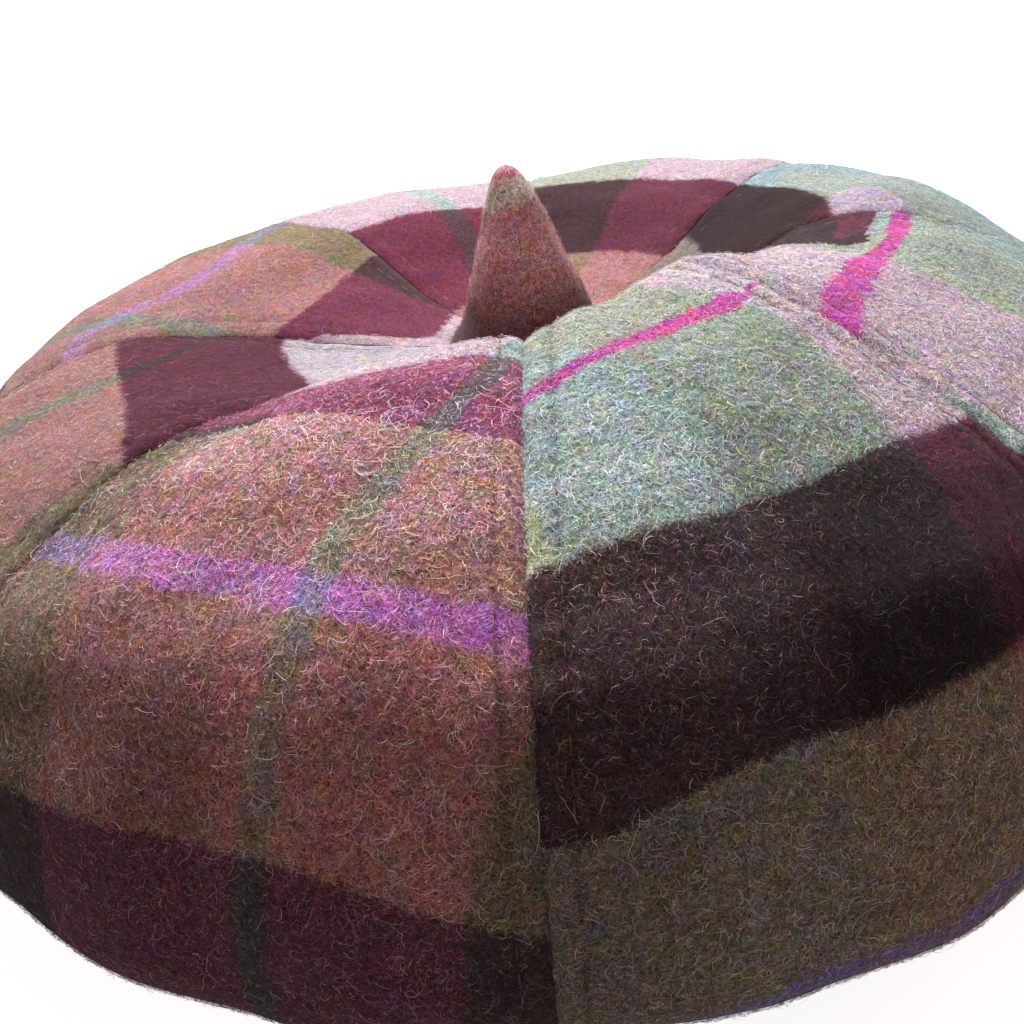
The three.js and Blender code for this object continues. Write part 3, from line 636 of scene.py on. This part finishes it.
def gore_grid(k):
    gore = GORES[k]
    start, span = seam_angle(k), seam_angle(k + 1) - seam_angle(k)
    q = STATIONS[None]
    middle_r, _ = section(np.full_like(q, start + span / 2), q)
    width = middle_r * span
    near = EDGE[:, None] * np.minimum(1, width / 44)
    inner = near[-1:] + (width - 2 * near[-1:]) * (np.arange(1, MIDDLE_CELLS) / MIDDLE_CELLS)[:, None]
    d = np.concatenate([near, inner, width - near[::-1]], 0)
    q = np.broadcast_to(q, d.shape)
    angle = start + span * d / width
    base = crown(k, angle, q, gore["puff"])
    middle = base[len(d) // 2]
    s = np.concatenate([[0], np.cumsum(np.linalg.norm(np.diff(middle, axis=0), axis=1))])
    s = np.broadcast_to(s[None], d.shape)
    x = d - width / 2
    edge = np.minimum(d, width - d)
    normal = unit(np.cross(np.gradient(base, axis=1), np.gradient(base, axis=0)))
    # next to a seam the cloth faces straight out, so that neighbours meet
    ahead = np.stack([np.cos(angle), np.sin(angle), np.zeros_like(angle)], -1)
    turn = np.sum(normal * ahead, -1, keepdims=True)
    normal = unit(normal - ahead * turn * (1 - smooth(edge, 0.0, 6.0))[..., None])
    lumps = 0.75 * waves(base, 30, 16, 5) + 0.28 * waves(base, 12, 16, 6)
    pucker = 0.20 * np.sin(2 * math.pi * s / 10.7 + 1.5 * waves(base, 25, 8, 7)) * np.exp(-((edge - 3.0) / 4.0) ** 2)
    ridge = (0.28 * np.exp(-(((edge - 2.4) / 1.3) ** 2)) + 0.15 * np.exp(-(((edge - 7.5) / 2.5) ** 2))
             - 0.25 * np.exp(-(((edge - STITCH_AT) / 0.75) ** 2)) * (0.78 + 0.22 * np.cos(2 * math.pi * s / STITCH_PITCH)))
    seam = ridge * gore["groove"] ** 2 - gore["groove"] * np.exp(-edge / 0.75)
    seam = seam * smooth(width, 14, 40)
    length = s[0, -1]
    ends = -0.9 * np.exp(-s / 1.3) - 0.5 * np.exp(-(length - s) / 1.5)
    outer = base + normal * (lumps + pucker + seam + ends)[..., None]
    inside = base + normal * (lumps * 0.8 - WALL)[..., None]
    # the end at the stalk is drawn in close to it
    drawn = np.stack([np.sin(angle), -np.cos(angle), np.zeros_like(angle)], -1) * (0.28 * np.exp(-s / 1.2))[..., None]
    outer, inside = outer - drawn, inside - drawn
    face = unit(np.cross(np.gradient(outer, axis=1), np.gradient(outer, axis=0)))
    v, w = chart(gore, x, s)
    # painted shade: between the hairs the cloth is painted darker where the nap stands highest
    under = 1 - 0.18 * gore["gap_shade_depth"] * smooth(s, 60, 68) * (1 - smooth(s, 98, 116))
    # along the rows of stitching the cloth gets painted shade, standing in for the shadow in their groove
    return dict(outer=outer, inside=inside, face=face, x=x, s=s, edge=edge, width=width, v=v, w=w, length=length, under=under,
                dye_and_light_tint=dye_and_painted_light(k, x, s, w) * (1 - 0.34 * gore["groove"] ** 2 * np.exp(-(((edge - STITCH_AT) / 0.6) ** 2)))[..., None])


def shell(name, grid, material):
    """Closed cloth shell: outer grid, inner grid and the four edges."""
    outer, inside = grid["outer"], grid["inside"]
    nc, nr = outer.shape[:2]
    at = np.arange(nc * nr).reshape(nc, nr)
    far = at + nc * nr
    quad = lambda a, b, c, d: np.stack([a, b, c, d], -1).reshape(-1, 4)
    out = quad(at[:-1, :-1], at[:-1, 1:], at[1:, 1:], at[1:, :-1])
    back = quad(far[:-1, :-1], far[1:, :-1], far[1:, 1:], far[:-1, 1:])
    left = quad(at[0, 1:], at[0, :-1], far[0, :-1], far[0, 1:])
    right = quad(at[-1, :-1], at[-1, 1:], far[-1, 1:], far[-1, :-1])
    top = quad(at[:-1, 0], at[1:, 0], far[1:, 0], far[:-1, 0])
    foot = quad(at[1:, -1], at[:-1, -1], far[:-1, -1], far[1:, -1])
    faces = [out, back, left, right, top, foot]
    cloth = np.stack([grid["v"], grid["w"]], -1).reshape(-1, 2) / 100
    cloth = np.concatenate([cloth, cloth])
    corners = np.concatenate([f.ravel() for f in faces])
    # second layout: outside, inside and edges each in a strip of their own
    widest = np.ptp(grid["x"])
    across = (grid["x"] - grid["x"].min()) / widest
    down = grid["s"] / grid["length"]
    front = np.stack([0.005 + 0.69 * across, 0.005 + 0.99 * down], -1).reshape(-1, 2)
    rear = np.stack([0.71 + 0.21 * across, 0.005 + 0.99 * down], -1).reshape(-1, 2)
    both = np.concatenate([front, rear])
    layout = [both[out.ravel()], both[back.ravel()]]
    for at_u, strip, line in ((0.93, left, down[0]), (0.95, right, down[-1]), (0.97, top, across[:, 0]), (0.985, foot, across[:, -1])):
        value = np.concatenate([np.zeros(nc * nr), np.zeros(nc * nr)])
        if strip is left or strip is right:
            ids = at[0] if strip is left else at[-1]
        else:
            ids = at[:, 0] if strip is top else at[:, -1]
        value[ids] = value[ids + nc * nr] = line
        deep = np.concatenate([np.zeros(nc * nr), np.ones(nc * nr)])
        c = strip.ravel()
        layout.append(np.stack([at_u + 0.010 * deep[c], 0.005 + 0.99 * value[c]], -1))
    points = np.concatenate([outer.reshape(-1, 3), inside.reshape(-1, 3)])
    return make(name, points, faces, material, {"Cloth": cloth[corners], "OFBake": np.concatenate(layout)},
                flat_from=len(out) + len(back), tint=np.tile((grid["dye_and_light_tint"] * grid["under"][..., None]).reshape(-1, 3), (2, 1)))


def scatter(grid, count, density, rng):
    """Roots of hairs on a grid's outer face: place, outward, along, warp and weft position."""
    outer, face = grid["outer"], grid["face"]
    nc, nr = outer.shape[:2]
    a, b = outer[1:, :-1] - outer[:-1, :-1], outer[:-1, 1:] - outer[:-1, :-1]
    weight = np.linalg.norm(np.cross(a, b), axis=-1) * density[:-1, :-1]
    cell = rng.choice(weight.size, count, p=(weight / weight.sum()).ravel())
    c, i = cell // (nr - 1), cell % (nr - 1)
    f, g = rng.random(count), rng.random(count)

    def pick(field):
        f2, g2 = (f, g) if field.ndim == 2 else (f[:, None], g[:, None])
        return ((1 - f2) * (1 - g2) * field[c, i] + f2 * (1 - g2) * field[c + 1, i]
                + (1 - f2) * g2 * field[c, i + 1] + f2 * g2 * field[c + 1, i + 1])

    normal = unit(pick(face))
    along = unit(b[c, i])
    along = unit(along - normal * np.sum(along * normal, -1, keepdims=True))
    return pick(outer), normal, along, pick(grid["v"]), pick(grid["w"]), pick


def stitches(name, grid, deeper):
    """Rows of topstitching beside both seams, as short threads pressed into the cloth."""
    outer, face = grid["outer"], grid["face"]
    points, faces = [], []
    sides, rings = 6, 4
    length = grid["length"]
    ring = np.arange(sides) * 2 * math.pi / sides
    start = 0
    for column in (int(np.argmin(np.abs(EDGE - STITCH_AT))), outer.shape[0] - 1 - int(np.argmin(np.abs(EDGE - STITCH_AT)))):
        line, up, s = outer[column], face[column], grid["s"][column]
        for mid in np.arange(14.0, length - 6.0, STITCH_PITCH):
            where = mid + np.array([-1.55, -1.1, 1.1, 1.55])
            centre = np.stack([np.interp(where, s, line[:, a]) for a in range(3)], -1)
            normal = unit(np.stack([np.interp(where, s, up[:, a]) for a in range(3)], -1))
            ahead = unit(np.gradient(centre, axis=0))
            side = unit(np.cross(normal, ahead))
            centre = centre + normal * (np.array([-0.16, 0.0, 0.0, -0.16]) - deeper)[:, None]
            size = np.array([0.05, 0.14, 0.14, 0.05])
            p = centre[:, None] + size[:, None, None] * (np.cos(ring)[None, :, None] * side[:, None] + np.sin(ring)[None, :, None] * normal[:, None])
            points.append(p.reshape(-1, 3))
            for a in range(rings - 1):
                for b in range(sides):
                    c = (b + 1) % sides
                    faces.append([start + a * sides + b, start + (a + 1) * sides + b, start + (a + 1) * sides + c, start + a * sides + c])
            for a, flip in ((0, 1), (rings - 1, -1)):
                ends = [start + a * sides + b for b in range(sides)][::flip]
                faces += [[ends[0], ends[1], ends[2], ends[3]], [ends[0], ends[3], ends[4], ends[5]]]
            start += rings * sides
    return make(name, np.concatenate(points), [np.array(faces)], THREAD)


# hairs for each gore: how many, the stretch from the stalk that carries them most thickly, how lively
NAP = {"gore_front_left": (70000, 45, 185, 1.0), "gore_front_right": (70000, 40, 185, 1.0), "gore_left": (26000, 30, 130, 0.9),
       "gore_right": (26000, 35, 120, 0.9), "gore_left_back": (14500, 0, 110, 0.75), "gore_back_left": (12500, 0, 110, 0.7),
       "gore_back_right": (12500, 0, 110, 0.7), "gore_right_back": (13500, 10, 120, 0.75)}

for k, gore in enumerate(GORES):
    rng = np.random.default_rng(100 + k)
    short = gore["name"].replace("gore_", "")
    grid = gore_grid(k)
    cloth = shell("cloth_" + short, grid, CALM_TWEED if k in (2, 3, 4, 5, 6) else CROWN_TWEED)
    count, low, high, calm = NAP[gore["name"]]
    s, edge = grid["s"], grid["edge"]
    density = 0.3 + 0.7 * smooth(s, low - 12, low + 4) * (1 - smooth(s, high - 6, high + 14))
    root, normal, along, v, w, pick = scatter(grid, count, density, rng)
    heading = np.radians(gore["nap"]) + rng.normal(0, 0.9, count)
    nap = hair_piece("nap_" + short, root, normal, along, v, w, heading, rng,
                     calm=calm * (0.6 + 0.4 * smooth(pick(s), 35, 60) + 3.0 * (1 - pick(grid["under"]))), gain=pick(grid["dye_and_light_tint"]))
    seam = stitches("stitching_" + short, grid, 0.24 * (1 - gore["groove"]))
    for piece in (cloth, nap, seam):
        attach(piece, "root")
    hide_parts(gore["name"])

# ---- Stalk ------------------------------------------------------------------------------------

STALK_TOP = 123.5
STALK_RINGS = [(0.0, 0.0), (0.25, 1.3), (0.9, 2.4), (2.2, 3.3), (4.4, 4.2), (8.0, 5.6), (11.8, 7.2), (18.0, 9.5),
               (24.7, 11.8), (30.5, 13.9), (35.0, 16.1), (37.4, 18.0), (39.0, 18.6), (41.2, 18.65)]
STALK_LEAN = -2.8


def stalk_grid():
    drops = np.array([row[0] for row in STALK_RINGS])
    radii = np.array([row[1] for row in STALK_RINGS])
    path = np.concatenate([[0], np.cumsum(np.hypot(np.diff(drops), np.diff(radii)))])
    s = np.linspace(0.25, path[-1], 56)
    drop, r = np.interp(s, path, drops), np.interp(s, path, radii)
    for _ in range(3):
        r[1:-1] = (r[:-2] + 2 * r[1:-1] + r[2:]) / 4
        drop[1:-1] = (drop[:-2] + 2 * drop[1:-1] + drop[2:]) / 4
    angle = np.linspace(0, 2 * math.pi, 73)[:-1]
    z = STALK_TOP - drop
    rise = np.maximum((z - DISH_Z) / (STALK_TOP - DISH_Z), 0) ** 1.2
    # a little out of round, with a lap where the cloth is closed behind
    form = 1 + 0.035 * np.sin(2 * angle + 0.6)[:, None] + 0.02 * np.sin(3 * angle - 1.0)[:, None]
    lap = 0.45 * np.exp(-(((np.mod(angle - 3.5, 2 * math.pi) - 0.3) / 0.22) ** 2))[:, None] * smooth(r, 2, 6)[None]
    radius = r[None] * (1 + (form - 1) * smooth(r, 1, 6)[None] * (1 - smooth(drop, 34, 40))[None]) + lap * (1 - smooth(drop, 34, 38))[None]
    p = np.stack([radius * np.sin(angle)[:, None] + STALK_LEAN * rise[None], -radius * np.cos(angle)[:, None], np.broadcast_to(z[None], radius.shape)], -1)
    wrapped = np.concatenate([p[-1:], p, p[:1]])
    normal = unit(np.cross(np.gradient(p, axis=1), np.gradient(wrapped, axis=0)[1:-1]))
    p = p + normal * (0.35 * waves(p, 9, 14, 15) * smooth(s, 1, 5) * (1 - smooth(drop, 35, 39)))[..., None]
    return p, normal, np.broadcast_to(drop[None], radius.shape), angle, r, s


points, normal, drop, angle, r, s = stalk_grid()
nc, nr = points.shape[:2]
inside = points - normal * np.minimum(1.8, 0.55 * r)[None, :, None]
inside[..., 2] = np.maximum(inside[..., 2], points[:, -1:, 2])
inside[:, -1, 2] = points[:, -1, 2]
at = np.arange(nc * nr).reshape(nc, nr)
nxt = np.roll(at, -1, axis=0)
far, far_nxt = at + nc * nr, nxt + nc * nr
quad = lambda a, b, c, d: np.stack([a, b, c, d], -1).reshape(-1, 4)
out = quad(at[:, :-1], at[:, 1:], nxt[:, 1:], nxt[:, :-1])
back = quad(far[:, :-1], far_nxt[:, :-1], far_nxt[:, 1:], far[:, 1:])
rim = quad(nxt[:, -1], at[:, -1], far[:, -1], far_nxt[:, -1])
tip, hollow = 2 * nc * nr, 2 * nc * nr + 1
three = np.concatenate([np.stack([np.full(nc, tip), at[:, 0], nxt[:, 0]], -1), np.stack([np.full(nc, hollow), far_nxt[:, 0], far[:, 0]], -1)])
apex = np.array([points[:, 0].mean(0) + [0, 0, 0.15], inside[:, 0].mean(0) + [0, 0, 0.05]])
warp = 1.05 * (drop - 4.9 + 0.22 * (points[..., 0] + 2.4))
weft = 92 + 9 * np.sin(angle)[:, None] + 0 * drop
cloth_uv = np.stack([warp, weft], -1).reshape(-1, 2) / 100
cloth_uv = np.concatenate([cloth_uv, cloth_uv, [[-0.06, 0.92], [-0.06, 0.92]]])
turns = np.broadcast_to((np.arange(nc) / nc)[:, None], drop.shape)
down = np.broadcast_to((s / s[-1])[None], drop.shape)


def stalk_layout(faces):
    """Second layout by corner: outside on the left, inside on the right; the last column closes at 1."""
    result = []
    for f in faces:
        ids = f.copy()
        inner_side = (ids >= nc * nr) & (ids < 2 * nc * nr) | (ids == hollow)
        plain = np.where(ids >= 2 * nc * nr, 0, ids % (nc * nr))
        u = turns.ravel()[plain].copy()
        u = np.where((u < 0.25) & (u.max(1, keepdims=True) > 0.75), u + 1.0, u)
        value = np.where(ids >= 2 * nc * nr, 0.0, down.ravel()[plain])
        u = np.where(ids >= 2 * nc * nr, u.max(1, keepdims=True), u)
        result.append(np.stack([np.where(inner_side, 0.53 + 0.45 * u, 0.01 + 0.5 * u), 0.01 + 0.95 * value], -1).reshape(-1, 2))
    return np.concatenate(result)


faces = [out, back, rim, three]
layout = stalk_layout([out, back])
edge = np.stack([0.01 + 0.9 * np.repeat(np.arange(nc) / nc, 4) + np.tile([0.01, 0, 0, 0.01], nc), 0.97 + 0.02 * np.tile([0, 0, 1, 1], nc)], -1)
layout = np.concatenate([layout, edge, stalk_layout([three])])
corners = np.concatenate([f.ravel() for f in faces])
stalk = make("cloth_stalk", np.concatenate([points.reshape(-1, 3), inside.reshape(-1, 3), apex]), faces, STALK_TWEED,
             {"Cloth": cloth_uv[corners], "OFBake": layout}, tint=np.ones((2 * nc * nr + 2, 3)))
rng = np.random.default_rng(301)
closed = lambda field: np.concatenate([field, field[:1]], 0)
grid = dict(outer=closed(points), face=closed(normal), v=closed(warp), w=closed(weft))
density = np.ones_like(grid["v"])
root, up, along, v, w, _ = scatter(grid, 12000, density, rng)


# the stalk's hairs get the same painted light, and painted shade towards its foot
def stalk_painted_light_and_shade(v, where):
    t = mirrored(v, WARP_HALF)[:, None]
    gain = np.where((t > THIN_WARP) & (t < ROSE_WARP), STALK_ROSE_PAINTED_LIGHT, STALK_SAGE_PAINTED_LIGHT)
    return gain * (0.18 + 0.82 * smooth(where[:, 2:], *STALK_FOOT_SHADE))


nap = hair_piece("nap_stalk", root, up, along, v, w, np.radians(80) + rng.normal(0, 0.9, len(root)), rng, scale=0.8, calm=0.8, gain=stalk_painted_light_and_shade(v, root))
for piece in (stalk, nap):
    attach(piece, "root")
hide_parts("stalk")

# ---- Head band --------------------------------------------------------------------------------

BAND_IN, BAND_OUT, BAND_TALL = 91.5, 94.5, 23.0
profile = []  # (radius, height) round the doubled strip, from the outside bottom upwards
for a in np.linspace(-math.pi / 2, 0, 5):
    profile.append((BAND_OUT - 1.2 + 1.2 * math.cos(a), 1.2 + 1.2 * math.sin(a)))
for h in np.linspace(2.6, 21.2, 15):
    dent = 0.35 * math.exp(-(((h - 4.2) / 0.8) ** 2))
    profile.append((BAND_OUT - dent, h))
for a in np.linspace(0, math.pi, 9):
    profile.append((93.0 + 1.5 * math.cos(a), 21.5 + 1.5 * math.sin(a)))
for h in np.linspace(21.2, 2.6, 15):
    profile.append((BAND_IN + 0.25 * math.exp(-(((h - 4.2) / 0.8) ** 2)), h))
for a in np.linspace(math.pi, 1.5 * math.pi, 5):
    profile.append((BAND_IN + 1.2 + 1.2 * math.cos(a), 1.2 + 1.2 * math.sin(a)))
profile = np.array(profile)
turn = np.linspace(0, 2 * math.pi, 181)[:-1]
ring = np.stack([profile[None, :, 0] * np.sin(turn)[:, None], -profile[None, :, 0] * np.cos(turn)[:, None],
                 np.broadcast_to(profile[None, :, 1], (180, len(profile)))], -1)
ripple = 0.25 * waves(ring, 26, 12, 31) * smooth(ring[..., 2], 1.0, 6.0)
ring = ring + np.stack([np.sin(turn), -np.cos(turn), 0 * turn], -1)[:, None] * ripple[..., None]
nc, nr = ring.shape[:2]
at = np.arange(nc * nr).reshape(nc, nr)
nxt, below = np.roll(at, -1, axis=0), np.roll(at, -1, axis=1)
band_faces = quad(at, nxt, np.roll(nxt, -1, axis=1), below)
path = np.concatenate([[0], np.cumsum(np.linalg.norm(np.diff(profile, axis=0), axis=1))])
cloth_uv = np.stack([np.broadcast_to((turn * 93)[:, None], (nc, nr)), np.broadcast_to((62 + path)[None], (nc, nr))], -1)
whole = np.stack([np.broadcast_to((np.arange(nc) / nc)[:, None], (nc, nr)), np.broadcast_to((np.arange(nr) / nr)[None], (nc, nr))], -1).reshape(-1, 2)
corner = band_faces.ravel()
uv = whole[corner].reshape(-1, 4, 2)
for axis in (0, 1):
    low = (uv[..., axis] < 0.3) & (uv[..., axis].max(1, keepdims=True) > 0.7)
    uv[..., axis] = np.where(low, 1.0, uv[..., axis])
cloth_corner = cloth_uv.reshape(-1, 2)[corner].reshape(-1, 4, 2) / 100
past = (cloth_corner[..., 0] < 0.5) & (cloth_corner[..., 0].max(1, keepdims=True) > 5.0)
cloth_corner[..., 0] += np.where(past, 2 * math.pi * 0.93, 0)
band = make("cloth_band", ring.reshape(-1, 3), [band_faces], BAND_TWEED,
            {"Cloth": cloth_corner.reshape(-1, 2), "OFBake": (0.005 + 0.99 * uv).reshape(-1, 2)}, tint=np.ones((nc * nr, 3)))
rng = np.random.default_rng(302)
half = slice(0, 29)
out_face = ring[:, half]
up = np.stack([np.sin(turn), -np.cos(turn), 0 * turn], -1)[:, None] + 0 * out_face
grid = dict(outer=closed(out_face)[::-1], face=closed(up)[::-1], v=closed(cloth_uv[:, half, 0] + 0)[::-1], w=closed(cloth_uv[:, half, 1] + 0)[::-1])
density = 0.05 + 0.95 * smooth(grid["outer"][..., 2], 3.0, 6.0)
root, up, along, v, w, _ = scatter(grid, 6000, density, rng)
nap = hair_piece("nap_band", root, up, along, v, w, rng.uniform(0, 6.28, len(root)), rng, scale=0.8, calm=0.8)
for piece in (band, nap):
    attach(piece, "root")
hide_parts("head_band")

# ---- Floor, light and camera ------------------------------------------------------------------

floor_tree = Tree("pale_floor")
place = floor_tree.nodes.new("ShaderNodeTexCoord")
mottle, _ = floor_tree.noise(place.outputs["Object"], 3.0, 2.0)
floor_tree.put(floor_tree.shader.inputs["Base Color"], floor_tree.ramp(mottle, [(0.3, (0.88, 0.88, 0.88)), (0.7, (0.92, 0.92, 0.92))]))
floor_tree.shader.inputs["Roughness"].default_value = 0.9
floor_tree.shader.inputs["Specular IOR Level"].default_value = 0.0
floor_tree.shader.inputs["Emission Color"].default_value = (1, 1, 1, 1)
floor_tree.shader.inputs["Emission Strength"].default_value = 0.85
mesh = bpy.data.meshes.new("floor")
side = 9.0
mesh.from_pydata([(-side, -side, 0), (side, -side, 0), (side, side, 0), (-side, side, 0)], [], [(0, 1, 2, 3)])
mesh.materials.append(floor_tree.material)
floor = bpy.data.objects.new("floor", mesh)
floor.location = (0, 0, -0.0003)
floor.visible_diffuse = False  # a white table: its glow is seen, and does not light the cloth
floor.visible_glossy = False
bpy.context.scene.collection.objects.link(floor)

scene = bpy.context.scene
scene.view_settings.view_transform = "Standard"
world = bpy.data.worlds.new("studio")
scene.world = world
world.use_nodes = True
nodes, links = world.node_tree.nodes, world.node_tree.links
background = next(n for n in nodes if n.type == "BACKGROUND")
where = nodes.new("ShaderNodeTexCoord")
apart = nodes.new("ShaderNodeSeparateXYZ")
links.new(where.outputs["Generated"], apart.inputs[0])
span = nodes.new("ShaderNodeMapRange")
links.new(apart.outputs[2], span.inputs["Value"])
span.inputs["From Min"].default_value, span.inputs["From Max"].default_value = -0.6, 0.8
ramp = nodes.new("ShaderNodeValToRGB")
ramp.color_ramp.elements[0].color = (0.350, 0.310, 0.300, 1)
ramp.color_ramp.elements[1].color = (0.270, 0.248, 0.243, 1)
links.new(span.outputs[0], ramp.inputs[0])
links.new(ramp.outputs[0], background.inputs[0])
background.inputs[1].default_value = 1.0

# Camera: solved from the photo's outline, crest line and seams; mm about the hat's axis.
FOCAL_PX = 1213.8
CAMERA_AT = np.array((-8.482, -256.604, 180.69))
PITCH, ROLL, TURNED = math.radians(-28.483), math.radians(-5.638), math.radians(3.764)
turn_z = np.array([[math.cos(TURNED), -math.sin(TURNED), 0], [math.sin(TURNED), math.cos(TURNED), 0], [0, 0, 1]])
forward = np.array((0, math.cos(PITCH), math.sin(PITCH)))
upward = np.array((0, -math.sin(PITCH), math.cos(PITCH)))
rightward = np.array((1.0, 0, 0))
right = turn_z @ (math.cos(ROLL) * rightward + math.sin(ROLL) * upward)
top = turn_z @ (-math.sin(ROLL) * rightward + math.cos(ROLL) * upward)
ahead = turn_z @ forward
spot = turn_z @ CAMERA_AT * MM + AXIS
camera_data = bpy.data.cameras.new("camera")
camera_data.sensor_fit, camera_data.sensor_width = "HORIZONTAL", 36.0
camera_data.lens = FOCAL_PX / 1024 * 36.0
camera_data.clip_start, camera_data.clip_end = 0.01, 100.0
camera = bpy.data.objects.new("camera", camera_data)
camera.matrix_world = Matrix([[right[a], top[a], -ahead[a], spot[a]] for a in range(3)] + [[0, 0, 0, 1]])
scene.collection.objects.link(camera)
scene.camera = camera


def area_light(name, tilt, turn, distance, size, power, colour):
    """A soft square light; tilt from straight above, turn from the camera's far side towards +X."""
    away = np.array((math.sin(tilt) * math.sin(turn), math.sin(tilt) * math.cos(turn), math.cos(tilt)))
    away = turn_z @ away
    data = bpy.data.lights.new(name, "AREA")
    data.shape, data.size, data.energy, data.color = "SQUARE", size, power, colour
    obj = bpy.data.objects.new(name, data)
    z = away
    x = unit(np.cross((0.0, 1.0, 0.0), z))
    y = np.cross(z, x)
    at = AXIS + np.array((0, 0, 0.06)) + away * distance
    obj.matrix_world = Matrix([[x[a], y[a], z[a], at[a]] for a in range(3)] + [[0, 0, 0, 1]])
    scene.collection.objects.link(obj)


area_light("key", math.radians(33), math.radians(-6), 1.3, 0.5, 42.5, (0.985, 0.995, 1.0))

# a weak narrow light on the stalk from the camera's side
data = bpy.data.lights.new("stalk_fill", "SPOT")
data.energy, data.spot_size, data.spot_blend, data.shadow_soft_size = 2.3, math.radians(8.5), 1.0, 0.02
fill = bpy.data.objects.new("stalk_fill", data)
aim = AXIS + np.array((0, 0, 0.112))
z = unit(turn_z @ np.array((0.1, -0.62, 0.78)))
x = unit(np.cross((0.0, 1.0, 0.0), z))
y = np.cross(z, x)
fill.matrix_world = Matrix([[x[a], y[a], z[a], (aim + 0.5 * z)[a]] for a in range(3)] + [[0, 0, 0, 1]])
scene.collection.objects.link(fill)
